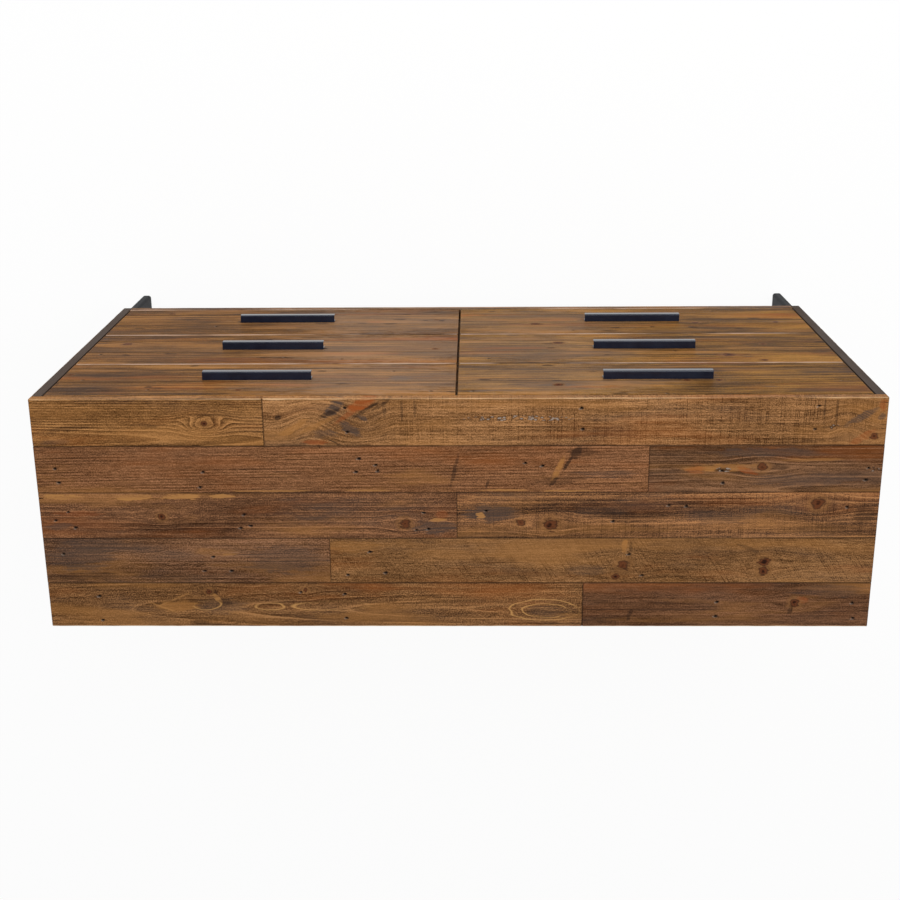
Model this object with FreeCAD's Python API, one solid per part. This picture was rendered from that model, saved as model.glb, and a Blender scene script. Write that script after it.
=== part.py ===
import FreeCAD, Part
import os

# A six-drawer dresser of reclaimed planks on four short black steel legs.
# Millimetres, +Z up, standing on its feet. The drawer fronts face -Y and the long way is X, so
# "left" is -X for someone standing in front of it. The origin is on the floor, under the middle of
# the whole dresser, handles included.

# Case
case_width = 1524.0
case_depth = 445.0
top_thickness = 19.0
side_thickness = 18.0
bottom_thickness = 22.0
divider_thickness = 18.0
divider_setback = 4.0
back_thickness = 6.0

# Planks glued edge to edge: five rows run along the top, five stand side by side in each side.
# Each row of the top is two boards, whose butt joint is given here from the front row to the back.
plank_rows = 5
top_joint_x = (345.0, -345.0, 0.0, 234.0, -232.0)

# Flat rails under the top, one pair at the front and one at the back
rail_thickness = 18.0
rail_depth = 70.0

# Drawer fronts, inset flush with the case
top_front_height = 211.0
middle_front_height = 228.0
bottom_front_height = 228.0
front_thickness = 18.0
front_board_width = 89.0
reveal = 3.0
centre_reveal = 4.0

# Drawer boxes behind the fronts
box_wall = 12.0
box_back_clearance = 13.0
box_rail_clearance = 25.0
box_above_front_foot = 15.0
box_bottom_thickness = 6.0
box_bottom_raise = 12.0
box_groove_depth = 6.0

# Three-part ball-bearing slides, one each side of every drawer. Each part is a folded channel, and
# the next part runs inside it with room for the balls.
slide_space = 13.0
slide_setback = 4.0
slide_sheet = 1.5
slide_height = 46.0
slide_ball_gap = 2.0
slide_web_gap = 1.0
slide_tip_gap = 0.5

# Handles: a folded steel pull, open underneath
handle_length = 203.0
handle_projection = 16.0
handle_lip = 14.0
handle_flange = 20.0
handle_sheet = 2.0
handle_bend_radius = 2.5

# Legs: rectangular steel tube with rounded corners, welded under a fixing plate
leg_height = 150.0
leg_tube_width = 20.0
leg_tube_depth = 40.0
leg_tube_corner = 6.0
leg_tube_wall = 2.0
leg_side_inset = 8.0
leg_front_inset = 4.0
leg_plate_thickness = 4.0
leg_plate_width = 80.0
leg_plate_depth = 90.0
leg_hole_edge = 14.0
leg_hole_clearance = 0.25

# Plastic caps that close the leg tubes and stand on the floor
glide_thickness = 5.0
glide_spigot_height = 12.0
glide_edge_round = 2.0

# Dowels between the case panels
dowel_radius = 4.0
dowel_in_side = 8.0
dowel_in_rail = 25.0
dowel_in_divider_foot = 28.0
dowel_in_bottom = 12.0
dowel_divider_gap = 2.0
rail_dowel_edge = 18.0

# Screws. A head is wider than its shank, and taller, by the same shares on every screw.
leg_screw_radius = 2.5
front_screw_radius = 2.0
handle_screw_radius = 2.0
top_screw_radius = 2.25
back_screw_radius = 1.75
screw_head_spread = 1.8
screw_head_rise = 1.2
screw_tip_cover = 6.0
back_screw_bite = 14.0
panel_screw_end = 130.0
panel_screw_count = 3
front_screw_end = 120.0
front_screw_drop = (65.0, 140.0)
handle_screw_end = 21.5

# Rows from the top down, and the sign of X on each side
front_heights = {"top": top_front_height, "middle": middle_front_height, "bottom": bottom_front_height}
row_names = tuple(front_heights)
side_signs = {"left": -1, "right": 1}

# Levels and planes that follow from the sizes above
case_height = top_thickness + sum(front_heights.values()) + reveal * (len(row_names) + 1) + bottom_thickness
case_foot_z = leg_height
case_top_z = leg_height + case_height
top_under_z = case_top_z - top_thickness
bottom_top_z = case_foot_z + bottom_thickness
half_width = case_width / 2
inner_half = half_width - side_thickness
front_y = handle_projection - (case_depth + handle_projection) / 2
back_y = front_y + case_depth
inner_back_y = back_y - back_thickness
plank_width = case_depth / plank_rows
behind_front_y = front_y + front_thickness
divider_front_y = behind_front_y + divider_setback
front_inner_x = centre_reveal / 2
front_outer_x = inner_half - reveal
bay_inner_x = divider_thickness / 2
box_inner_x = bay_inner_x + slide_space
box_outer_x = inner_half - slide_space
box_back_y = inner_back_y - box_back_clearance
slide_front_y = behind_front_y + slide_setback
slide_back_y = box_back_y - slide_setback

AXES = {"x": FreeCAD.Vector(1, 0, 0), "y": FreeCAD.Vector(0, 1, 0), "z": FreeCAD.Vector(0, 0, 1)}


def way(direction):
    """The unit vector of a signed axis such as +z or -y."""
    return AXES[direction[1]] * (1 if direction[0] == "+" else -1)


def block(x_span, y_span, z_span):
    """A box between two values on each axis, given in either order."""
    low = [min(span) for span in (x_span, y_span, z_span)]
    size = [abs(span[1] - span[0]) for span in (x_span, y_span, z_span)]
    return Part.makeBox(*size, FreeCAD.Vector(*low))


def rod(radius, start, direction, length):
    """A round bar that starts at a point and runs along a signed axis."""
    return Part.makeCylinder(radius, length, FreeCAD.Vector(*start), way(direction))


def pan_screw(radius, length, seat, direction):
    """A screw whose round head stands on the seat and whose shank runs into the work."""
    head_height = radius * screw_head_rise
    head_start = FreeCAD.Vector(*seat) - way(direction) * head_height
    head = Part.makeCylinder(radius * screw_head_spread, head_height, head_start, way(direction))
    return head.fuse(rod(radius, seat, direction, length)).removeSplitter()


def flat_screw(radius, length, seat, direction):
    """A countersunk screw with its head level with the seat."""
    head_height = radius * screw_head_rise
    start = FreeCAD.Vector(*seat)
    head = Part.makeCone(radius * screw_head_spread, radius, head_height, start, way(direction))
    shank_start = start + way(direction) * head_height
    shank = Part.makeCylinder(radius, length - head_height, shank_start, way(direction))
    return head.fuse(shank).removeSplitter()


def rounded_bar(x_span, y_span, z_span, corner):
    """An upright bar whose four standing edges are rounded."""
    bar = block(x_span, y_span, z_span)
    standing = [edge for edge in bar.Edges if abs(edge.tangentAt(edge.FirstParameter).z) > 0.99]
    return bar.makeFillet(corner, standing)


def drilled(shapes, tools):
    """Each shape with every tool that reaches it cut away."""
    results = []
    for shape in shapes:
        reach = [tool for tool in tools if shape.BoundBox.intersect(tool.BoundBox)]
        results.append(shape.cut(reach) if reach else shape)
    return results


def write(name, shapes):
    """Writes one node, made of one solid or of a group of separate solids."""
    solids = [solid for shape in shapes for solid in shape.Solids]
    for solid in solids:
        if not solid.isValid():
            raise ValueError(name + " has a solid that is not valid")
    node = solids[0] if len(solids) == 1 else Part.makeCompound(solids)
    node.exportStep("parts/" + name + ".step")
    print(name, len(solids), round(sum(solid.Volume for solid in solids) / 1000, 1), "cm3")


def evenly(start, end, count):
    """Places spread evenly from one end to the other."""
    return [start + (end - start) * step / (count - 1) for step in range(count)]


def row_top_z(row):
    """The height of the top edge of a row's drawer fronts."""
    rows_above = row_names[:row_names.index(row)]
    return top_under_z - reveal - sum(front_heights[above] + reveal for above in rows_above)


def box_span_z(row):
    """The foot and the top of a row's drawer boxes, each as far below its own front's top edge."""
    top_row_box = top_under_z - rail_thickness - box_rail_clearance
    drop = row_top_z(row_names[0]) - top_row_box
    front_top = row_top_z(row)
    return front_top - front_heights[row] + box_above_front_foot, front_top - drop


# Case


def plank_span_y(index):
    """The front and back edges of a plank row, counted from the front."""
    return front_y + index * plank_width, front_y + (index + 1) * plank_width


def rail_span_y(place):
    if place == "front":
        return divider_front_y, divider_front_y + rail_depth
    return inner_back_y - rail_depth, inner_back_y


def panel_screw_x():
    """Where screws fasten the top and the back, on both sides of the divider."""
    places = evenly(bay_inner_x + panel_screw_end, inner_half - panel_screw_end, panel_screw_count)
    return [sign * x for sign in side_signs.values() for x in places]


def case_dowels():
    """Dowels from the bottom into the sides and the divider, and from the rails into both."""
    dowels = []
    inward = {-1: "+x", 1: "-x"}
    outward = {-1: "-x", 1: "+x"}
    bottom_middle_z = case_foot_z + bottom_thickness / 2
    for index in (0, 1, plank_rows - 2, plank_rows - 1):
        y = sum(plank_span_y(index)) / 2
        for sign in side_signs.values():
            start = (sign * (inner_half + dowel_in_side), y, bottom_middle_z)
            dowels.append(rod(dowel_radius, start, inward[sign], dowel_in_side + dowel_in_rail))
        foot = (0.0, y, bottom_top_z - dowel_in_bottom)
        dowels.append(rod(dowel_radius, foot, "+z", dowel_in_bottom + dowel_in_divider_foot))
    dowel_in_divider = (divider_thickness - dowel_divider_gap) / 2
    rail_middle_z = top_under_z - rail_thickness / 2
    for place in ("front", "rear"):
        rail_front, rail_back = rail_span_y(place)
        for y in (rail_front + rail_dowel_edge, rail_back - rail_dowel_edge):
            for sign in side_signs.values():
                at_side = (sign * (inner_half + dowel_in_side), y, rail_middle_z)
                at_divider = (sign * (bay_inner_x - dowel_in_divider), y, rail_middle_z)
                dowels.append(rod(dowel_radius, at_side, inward[sign], dowel_in_side + dowel_in_rail))
                dowels.append(rod(dowel_radius, at_divider, outward[sign], dowel_in_divider + dowel_in_rail))
    return dowels


def top_screws():
    """Screws up through the rails into the top planks."""
    length = rail_thickness + top_thickness - screw_tip_cover
    seat_z = top_under_z - rail_thickness
    seats = [(x, sum(rail_span_y(place)) / 2, seat_z) for place in ("front", "rear") for x in panel_screw_x()]
    return [flat_screw(top_screw_radius, length, seat, "+z") for seat in seats]


def back_screws():
    """Screws through the back panel into the bottom, the rear rails and the divider."""
    levels = (case_foot_z + bottom_thickness / 2, top_under_z - rail_thickness / 2)
    seats = [(x, back_y, z) for x in panel_screw_x() for z in levels]
    divider_ends = (bottom_top_z + panel_screw_end, top_under_z - panel_screw_end)
    seats += [(0.0, back_y, z) for z in evenly(*divider_ends, panel_screw_count)]
    length = back_thickness + back_screw_bite
    return [flat_screw(back_screw_radius, length, seat, "-y") for seat in seats]


def top_boards():
    """Two boards to a row, with the butt joints staggered."""
    boards = []
    height = (top_under_z, case_top_z)
    for index in range(plank_rows):
        joint = top_joint_x[index]
        boards.append(block((-half_width, joint), plank_span_y(index), height))
        boards.append(block((joint, half_width), plank_span_y(index), height))
    return boards


def side_boards(sign):
    span_x = (sign * inner_half, sign * half_width)
    height = (case_foot_z, top_under_z)
    return [block(span_x, plank_span_y(index), height) for index in range(plank_rows)]


def top_rails(place):
    height = (top_under_z - rail_thickness, top_under_z)
    return [block((sign * bay_inner_x, sign * inner_half), rail_span_y(place), height)
            for sign in side_signs.values()]


# Legs


def leg_corner(place, side):
    """The leg's outer corner and the signs that lead inwards from it along X and Y."""
    sign = side_signs[side]
    corner_x = sign * (half_width - leg_side_inset)
    if place == "front":
        return corner_x, front_y + leg_front_inset, -sign, 1
    return corner_x, back_y - leg_front_inset, -sign, -1


def leg_span(place, side, near, far_x, far_y):
    """The X and Y spans of a rectangle that starts this far in from the leg's outer corner."""
    corner_x, corner_y, inward_x, inward_y = leg_corner(place, side)
    span_x = (corner_x + inward_x * near, corner_x + inward_x * far_x)
    span_y = (corner_y + inward_y * near, corner_y + inward_y * far_y)
    return span_x, span_y


def leg_tube(place, side, span_z):
    return rounded_bar(*leg_span(place, side, 0.0, leg_tube_width, leg_tube_depth), span_z, leg_tube_corner)


def leg_bore(place, side, span_z):
    """What fills the inside of the tube."""
    far_x = leg_tube_width - leg_tube_wall
    far_y = leg_tube_depth - leg_tube_wall
    spans = leg_span(place, side, leg_tube_wall, far_x, far_y)
    return rounded_bar(*spans, span_z, leg_tube_corner - leg_tube_wall)


def leg_screw_seats(place, side):
    """Four places on the plate, clear of the tube."""
    near = leg_tube_width + leg_hole_edge
    far = leg_plate_width - leg_hole_edge
    back = leg_plate_depth - leg_hole_edge
    corner_x, corner_y, inward_x, inward_y = leg_corner(place, side)
    seat_z = case_foot_z - leg_plate_thickness
    return [(corner_x + inward_x * x, corner_y + inward_y * y, seat_z)
            for x in (near, far) for y in (leg_hole_edge, back)]


def leg(place, side):
    """A tube, hollow up to the plate, with the plate's four screw holes."""
    plate_z = case_foot_z - leg_plate_thickness
    span_z = (glide_thickness, plate_z)
    plate_spans = leg_span(place, side, 0.0, leg_plate_width, leg_plate_depth)
    plate = rounded_bar(*plate_spans, (plate_z, case_foot_z), leg_tube_corner)
    tube = leg_tube(place, side, span_z).cut(leg_bore(place, side, span_z))
    hole_radius = leg_screw_radius + leg_hole_clearance
    holes = [rod(hole_radius, seat, "+z", leg_plate_thickness) for seat in leg_screw_seats(place, side)]
    return tube.fuse(plate).removeSplitter().cut(holes)


def leg_screws(place, side):
    length = leg_plate_thickness + bottom_thickness - screw_tip_cover
    return [pan_screw(leg_screw_radius, length, seat, "+z") for seat in leg_screw_seats(place, side)]


def glide(place, side):
    """A cap with rounded floor edges and a spigot that fills the end of the tube."""
    pad = leg_tube(place, side, (0.0, glide_thickness))
    floor_edges = [edge for edge in pad.Edges if edge.BoundBox.ZMax < glide_thickness / 2]
    spigot = leg_bore(place, side, (glide_thickness, glide_thickness + glide_spigot_height))
    return pad.makeFillet(glide_edge_round, floor_edges).fuse(spigot).removeSplitter()


# Drawers


def channel(wall, z_middle, web_span, flange_span, height):
    """A folded slide part: an upright web with a flange along its top and its foot.

    The spans are distances from the wall that carries the slide.
    """
    wall_x, away = wall
    span_y = (slide_front_y, slide_back_y)
    web_x = [wall_x + away * reach for reach in web_span]
    flange_x = [wall_x + away * reach for reach in flange_span]
    top_z = z_middle + height / 2
    foot_z = z_middle - height / 2
    web = block(web_x, span_y, (foot_z, top_z))
    upper = block(flange_x, span_y, (top_z - slide_sheet, top_z))
    lower = block(flange_x, span_y, (foot_z, foot_z + slide_sheet))
    return web.fuse([upper, lower]).removeSplitter()


def slide_parts(row, side):
    """The outer, middle and inner parts of a drawer's two slides."""
    sign = side_signs[side]
    walls = ((sign * bay_inner_x, sign), (sign * inner_half, -sign))
    z_middle = sum(box_span_z(row)) / 2
    nest = 2 * (slide_sheet + slide_ball_gap)
    middle_web = slide_sheet + slide_web_gap
    inner_tip = middle_web + slide_sheet + slide_web_gap
    inner_web = slide_space - slide_sheet
    tip = inner_web - slide_tip_gap
    outer = [channel(wall, z_middle, (0.0, slide_sheet), (0.0, tip), slide_height) for wall in walls]
    middle = [channel(wall, z_middle, (middle_web, middle_web + slide_sheet), (middle_web, tip),
                      slide_height - nest) for wall in walls]
    inner = [channel(wall, z_middle, (inner_web, slide_space), (inner_tip, slide_space),
                     slide_height - 2 * nest) for wall in walls]
    return outer, middle, inner


def front_boards(row, side):
    """A front glued up from full boards and, at its foot, what is left of one."""
    sign = side_signs[side]
    span_x = (sign * front_inner_x, sign * front_outer_x)
    foot_z = row_top_z(row) - front_heights[row]
    boards = []
    edge_z = row_top_z(row)
    while edge_z > foot_z:
        next_z = max(edge_z - front_board_width, foot_z)
        boards.append(block(span_x, (front_y, behind_front_y), (edge_z, next_z)))
        edge_z = next_z
    return boards


def box_boards(row, side):
    """Two long sides, with an inner front and a back between them."""
    sign = side_signs[side]
    span_z = box_span_z(row)
    long_y = (behind_front_y, box_back_y)
    near = (sign * box_inner_x, sign * (box_inner_x + box_wall))
    far = (sign * box_outer_x, sign * (box_outer_x - box_wall))
    between = (near[1], far[1])
    inner_front = block(between, (behind_front_y, behind_front_y + box_wall), span_z)
    back = block(between, (box_back_y - box_wall, box_back_y), span_z)
    return [block(near, long_y, span_z), block(far, long_y, span_z), inner_front, back]


def box_bottom(row, side):
    """The panel held in a groove round the inside of the box."""
    sign = side_signs[side]
    reach = box_wall - box_groove_depth
    span_x = (sign * (box_inner_x + reach), sign * (box_outer_x - reach))
    span_y = (behind_front_y + reach, box_back_y - reach)
    foot_z = box_span_z(row)[0] + box_bottom_raise
    return block(span_x, span_y, (foot_z, foot_z + box_bottom_thickness))


def handle_span_x(side):
    """The handle's two ends, as far from the middle of its front."""
    middle = side_signs[side] * (front_inner_x + front_outer_x) / 2
    return middle - handle_length / 2, middle + handle_length / 2


def handle_top_z(row):
    """The top of the handle, whose lip is halfway up the front."""
    return row_top_z(row) - front_heights[row] / 2 + handle_lip / 2


def handle_screws(row, side):
    """Screws through the handle's flange into the front, with their heads inside the fold."""
    start_x, end_x = handle_span_x(side)
    z = handle_top_z(row) - (handle_flange + handle_sheet) / 2
    length = handle_sheet + front_thickness - screw_tip_cover
    seats = [(x, front_y - handle_sheet, z) for x in (start_x + handle_screw_end, end_x - handle_screw_end)]
    return [pan_screw(handle_screw_radius, length, seat, "+y") for seat in seats]


def front_screws(row, side):
    """Screws from inside the box through its inner front into the drawer front."""
    sign = side_signs[side]
    length = box_wall + front_thickness - screw_tip_cover
    places = (box_inner_x + front_screw_end, box_outer_x - front_screw_end)
    seats = [(sign * x, behind_front_y + box_wall, row_top_z(row) - drop)
             for x in places for drop in front_screw_drop]
    return [pan_screw(front_screw_radius, length, seat, "-y") for seat in seats]


def handle(row, side):
    """A flange against the front, a web that stands out from its top and a lip that hangs from the web."""
    top_z = handle_top_z(row)
    span_x = handle_span_x(side)
    outer_y = front_y - handle_projection
    flange = block(span_x, (front_y - handle_sheet, front_y), (top_z - handle_flange, top_z))
    web = block(span_x, (outer_y, front_y), (top_z - handle_sheet, top_z))
    lip = block(span_x, (outer_y, outer_y + handle_sheet), (top_z - handle_lip, top_z))
    folded = flange.fuse([web, lip]).removeSplitter()
    half_sheet = handle_sheet / 2
    bend = [edge for edge in folded.Edges
            if edge.BoundBox.YMax < outer_y + half_sheet and edge.BoundBox.ZMin > top_z - half_sheet]
    return folded.makeFillet(handle_bend_radius, bend)


def write_case():
    leg_places = [(place, side) for place in ("front", "rear") for side in side_signs]
    dowels = case_dowels()
    screws_up = top_screws()
    screws_in = back_screws()
    screws_in_legs = [screw for place, side in leg_places for screw in leg_screws(place, side)]
    fixings = dowels + screws_up + screws_in + screws_in_legs

    write("top_boards", drilled(top_boards(), screws_up))
    for side, sign in side_signs.items():
        write(side + "_side_boards", drilled(side_boards(sign), dowels))
    bottom = block((-inner_half, inner_half), (front_y, inner_back_y), (case_foot_z, bottom_top_z))
    write("case_bottom", drilled([bottom], fixings))
    divider = block((-bay_inner_x, bay_inner_x), (divider_front_y, inner_back_y), (bottom_top_z, top_under_z))
    write("centre_divider", drilled([divider], fixings))
    back = block((-inner_half, inner_half), (inner_back_y, back_y), (case_foot_z, top_under_z))
    write("back_panel", drilled([back], screws_in))
    for place in ("front", "rear"):
        write(place + "_top_rails", drilled(top_rails(place), fixings))
    for place, side in leg_places:
        write(place + "_" + side + "_leg", [leg(place, side)])
    write("leg_glides", [glide(place, side) for place, side in leg_places])
    write("leg_screws", screws_in_legs)
    write("case_dowels", dowels)
    write("top_screws", screws_up)
    write("back_screws", screws_in)


def write_drawers():
    outer_rails = []
    for row in row_names:
        for side in side_signs:
            name = row + "_" + side
            screws = handle_screws(row, side) + front_screws(row, side)
            bottom = box_bottom(row, side)
            outer, middle, inner = slide_parts(row, side)
            outer_rails += outer
            write(name + "_drawer_front", drilled(front_boards(row, side), screws))
            write(name + "_drawer_box", drilled(box_boards(row, side), screws + [bottom]))
            write(name + "_drawer_bottom", [bottom])
            write(name + "_drawer_screws", screws)
            write(name + "_handle", drilled([handle(row, side)], screws))
            write(name + "_slide_inner", inner)
            write(name + "_slide_middle", middle)
    write("slide_outer_rails", outer_rails)


os.makedirs("parts", exist_ok=True)
print("case", case_width, "wide", case_depth, "deep", case_top_z, "high")
write_case()
write_drawers()
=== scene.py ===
"""The looks of a six-drawer dresser of reclaimed pine with black metal handles and legs."""

import math
import random

import bmesh
import bpy
from mathutils import Matrix, Quaternion, Vector, noise


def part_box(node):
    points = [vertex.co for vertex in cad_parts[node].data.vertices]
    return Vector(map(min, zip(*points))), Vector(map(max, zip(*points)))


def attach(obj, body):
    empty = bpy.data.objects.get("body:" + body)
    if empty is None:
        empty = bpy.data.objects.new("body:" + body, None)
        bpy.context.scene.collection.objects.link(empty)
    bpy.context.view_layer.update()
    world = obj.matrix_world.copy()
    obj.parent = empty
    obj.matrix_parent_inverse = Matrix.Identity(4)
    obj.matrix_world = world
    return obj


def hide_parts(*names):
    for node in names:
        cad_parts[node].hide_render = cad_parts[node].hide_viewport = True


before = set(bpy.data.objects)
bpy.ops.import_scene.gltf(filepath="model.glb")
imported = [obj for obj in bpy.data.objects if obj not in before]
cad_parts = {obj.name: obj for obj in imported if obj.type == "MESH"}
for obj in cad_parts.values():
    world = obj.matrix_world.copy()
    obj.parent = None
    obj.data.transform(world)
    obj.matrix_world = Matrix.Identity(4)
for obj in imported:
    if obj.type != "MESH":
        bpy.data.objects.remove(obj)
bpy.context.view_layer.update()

mm = 0.001

# The photograph's camera. It looks down on the top from in front of the drawers, and is rolled upside down.

camera_eye = Vector((-0.0320, -0.9177, 3.2211))
camera_target = Vector((0.0118, -0.1179, 0.8700))
camera_roll = math.radians(-177.14)
camera_lens = 55.5

# Layout, in metres. The two planks of each row of the top meet at a joint.

top_joints = (0.345, -0.345, 0.0, 0.234, -0.232)
top_rows = len(top_joints)
side_boards = 5
front_board_width = 0.089
box_wall = 0.012
handle_sheet = 0.002
handle_lip = 0.014
handle_bend = 0.0025
handle_edge = 0.45 * mm
handle_corner = math.radians(50)
rows = ("top", "middle", "bottom")
sides = {"left": -1, "right": 1}

# The edges of the boards. The rounding of a face's edge reaches further over the face than down the side, and
# wears unevenly in a slow and a quick wave: waves to the metre, steps of the noise from edge to edge and from
# board to board, and the share of the radius. Beside an edge there is a band in which the colour painted
# along it fades.
# board_step and box_step lie between cross sections. The boards' own frames are trunk_step apart along the
# grain, so that no two boards look alike.

face_radius = dict(rim=1.2 * mm, seam=0.7 * mm, side=1.2 * mm, front=1.1 * mm, box=1.4 * mm, bottom=1.4 * mm)
back_radius = 0.7 * mm
edge_spread = 1.3
edge_waves = ((38, 7.3, 1.7, 0.55), (160, 3.1, 2.3, 0.35))
edge_band = 0.0008
edge_arc = [math.radians(angle) for angle in (0, 30, 60, 90)]
board_step = 14 * mm
box_step = 40 * mm
trunk_step = 7.31

# How much each edge is lightened (above 0) or darkened (below 0). The lightening is wear, and on the top's
# rims, the fronts' crests and the case bottom's front edge also a painted highlight, less of it on the crest
# of the top row, which lies in shade. The darkening of seams and ends is grime and painted shade where boards
# meet, and from -1.2 down a narrow side also turns grey.

top_edges = dict(rim=1.0, seam=-0.62, end=-0.55)
side_edges = dict(front=0.2, rear=0.7, seam=-0.7, end=-0.3, flank=-2.0)
front_edges = dict(crest=1.0, shaded_crest=0.2, foot=0.0, seam=-0.55, end=0.1)
bottom_edges = (0.5, 0.9, 0.0)

# Nail holes and cracks in metres, and the checks in the planks' ends in mm and degrees. A hole tapers from
# its mouth to its foot, in shares of its radius, and a check's inset is a share of its length.

nail_radius = (1.2 * mm, 2.0 * mm)
nail_depth = 7 * mm
nail_foot, nail_mouth, nail_corners = 0.5, 1.15, 12
crack_width = 1.4 * mm
crack_depth = 4 * mm
crack_stray = 1.5 * mm
crack_waves = 5
crack_swell, crack_tip = 0.7, 0.04
crack_steps = 14
check_count = 3
check_length = (14, 34)
check_inset = (0.1, 0.25)
check_margin = 5
check_turn = (-5, 5)

# What each kind of board counts its random numbers from, and how much the boards' tones differ.

side_seed = 30
side_tone_seed = 40
front_seed = 60
box_seed = 110
bottom_seed = 150
mark_seed = 200
side_tones = (-0.14, 0.10)
front_tones = (-0.10, 0.10)

# Light levels and the floor.

world_level = 0.56
floor_shade = 0.08
floor_grey = (0.9, 0.9, 0.9, 1.0)
floor_size = 40.0
floor_drop = 0.5 * mm
backdrop_level = 0.97
white = (1.0, 1.0, 1.0, 1.0)


# Materials


def linear(colour):
    """A colour written as 0 to 255 on a screen, as Blender takes it."""
    shares = [channel / 255 for channel in colour]
    return tuple(s / 12.92 if s <= 0.04045 else ((s + 0.055) / 1.055) ** 2.4 for s in shares) + (1.0,)


class Nodes:
    """A node tree and short calls that add nodes to it."""

    def __init__(self, tree):
        self.tree = tree

    def feed(self, socket, value):
        if isinstance(value, bpy.types.NodeSocket):
            self.tree.links.new(value, socket)
        else:
            socket.default_value = value

    def node(self, kind, *values, **settings):
        """A new node with these settings, and with values or other nodes' results on its first sockets."""
        made = self.tree.nodes.new(kind)
        for setting, value in settings.items():
            setattr(made, setting, value)
        for socket, value in zip(made.inputs, values):
            self.feed(socket, value)
        return made

    def put(self, node, **values):
        """Puts values or other nodes' results on a node, by its sockets' names in small letters."""
        for name, value in values.items():
            self.feed(next(s for s in node.inputs if s.name.lower().replace(" ", "_") == name), value)
        return node

    def math(self, operation, *values, clamp=False):
        return self.node("ShaderNodeMath", *values, operation=operation, use_clamp=clamp).outputs[0]

    def times(self, first, second, clamp=False):
        return self.math("MULTIPLY", first, second, clamp=clamp)


class Paint(Nodes):
    """A material, and short calls that add nodes to it."""

    def __init__(self, name):
        self.material = bpy.data.materials.new(name)
        self.material.use_nodes = True
        super().__init__(self.material.node_tree)
        self.shader = self.tree.nodes["Principled BSDF"]
        self.frame = self.node("ShaderNodeTexCoord").outputs["Object"]

    def set(self, **values):
        self.put(self.shader, **values)

    def add(self, base, value, factor, clamp=False):
        """The base plus a value times a factor."""
        return self.math("MULTIPLY_ADD", value, factor, base, clamp=clamp)

    def vector(self, operation, *values):
        made = self.node("ShaderNodeVectorMath", *values, operation=operation)
        return made.outputs["Value" if operation in ("LENGTH", "DISTANCE") else "Vector"]

    def split(self, vector):
        return self.node("ShaderNodeSeparateXYZ", vector).outputs[:]

    def join(self, *axes):
        return self.node("ShaderNodeCombineXYZ", *axes).outputs[0]

    def attribute(self, name, output):
        return self.node("ShaderNodeAttribute", attribute_name=name).outputs[output]

    def noise(self, place, waves, detail=2.0, rough=0.5, output="Fac"):
        """Noise with so many waves to the metre along each axis."""
        made = self.node("ShaderNodeTexNoise")
        scaled = self.vector("MULTIPLY", place, waves)
        return self.put(made, vector=scaled, scale=1.0, detail=detail, roughness=rough).outputs[output]

    def layer(self, name, place, output="Fac"):
        along, across, detail, rough = noise_layers[name]
        return self.noise(place, (along, across, across), detail, rough, output)

    def grade(self, value):
        """A noise with its contrast raised, between -0.5 and 0.5."""
        return self.slope(value, 0.28, 0.72, -0.5, 0.5)

    def cells(self, place, waves, loose=1.0):
        """Cells strewn over a surface, so many to the metre along each axis."""
        made = self.node("ShaderNodeTexVoronoi", voronoi_dimensions="2D")
        scaled = self.vector("MULTIPLY", place, waves)
        return self.put(made, vector=scaled, scale=1.0, randomness=loose).outputs

    def dice(self, number, output="Value"):
        """What chance gives, the same wherever the number is the same."""
        made = self.node("ShaderNodeTexWhiteNoise", noise_dimensions="1D")
        return self.put(made, w=number).outputs[output]

    def slope(self, value, start, end, low=0.0, high=1.0):
        """A smooth step from low at start to high at end."""
        settings = dict(interpolation_type="SMOOTHSTEP")
        return self.node("ShaderNodeMapRange", value, start, end, low, high, **settings).outputs[0]

    def ramp(self, value, stops):
        """Colours, each with its place from 0 to 1, blended along value."""
        made = self.node("ShaderNodeValToRGB", value)
        elements = made.color_ramp.elements
        while len(elements) < len(stops):
            elements.new(0.5)
        for element, (place, colour) in zip(elements, stops):
            element.position = place
            element.color = colour
        return made.outputs

    def mix(self, share, first, second):
        """A mix of two colours, whose sockets come after those for numbers and vectors."""
        made = self.node("ShaderNodeMix", share, data_type="RGBA")
        self.feed(made.inputs[6], first)
        self.feed(made.inputs[7], second)
        return made.outputs[2]

    def cover(self, stain, share):
        """Lays a share of a stain over the colour."""
        self.colour = self.mix(share, self.colour, linear(stain_colours[stain]))

    def ellipse(self, place, along, across, half_length, half_width, turn=0.0, fray=None):
        """How far a place is from the middle of an ellipse, where 1 is on its edge. Sizes are in mm.
        fray moves the places, in the ellipse's own frame and in its half sizes."""
        middle = (along * mm, across * mm, 0.0)
        rotation = (0.0, 0.0, math.radians(turn))
        scale = (half_length * mm, half_width * mm, endless)
        made = self.node("ShaderNodeMapping", place, middle, rotation, scale, vector_type="TEXTURE")
        found = self.vector("ADD", made.outputs[0], fray) if fray else made.outputs[0]
        return self.vector("LENGTH", found)

    def spots(self, place, points, half_length, half_width):
        """How far a place is from the nearest of many like spots, as in ellipse."""
        scale = (1.0 / (half_length * mm), 1.0 / (half_width * mm), 0.0)
        scaled = self.vector("MULTIPLY", place, scale)
        middles = [(x / half_length, y / half_width, 0.0) for x, y in points]
        return self.nearest([self.vector("DISTANCE", scaled, middle) for middle in middles])

    def nearest(self, distances):
        found = distances[0]
        for distance in distances[1:]:
            found = self.math("MINIMUM", found, distance)
        return found

    def bump(self, height, depth, strength=0.6):
        made = self.put(self.node("ShaderNodeBump"), strength=strength, distance=depth, height=height)
        self.set(normal=made.outputs[0])


# What the wood looks like unless a board says otherwise. Lengths are in mm. The heart is the middle of the
# trunk: how far it lies across from the middle of the board, and how far below its face. From figure to
# fleck are the layers, with how much each makes the tone rise and fall. streak_waves are the streaks' waves
# to the metre, along the grain and across it.

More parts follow.
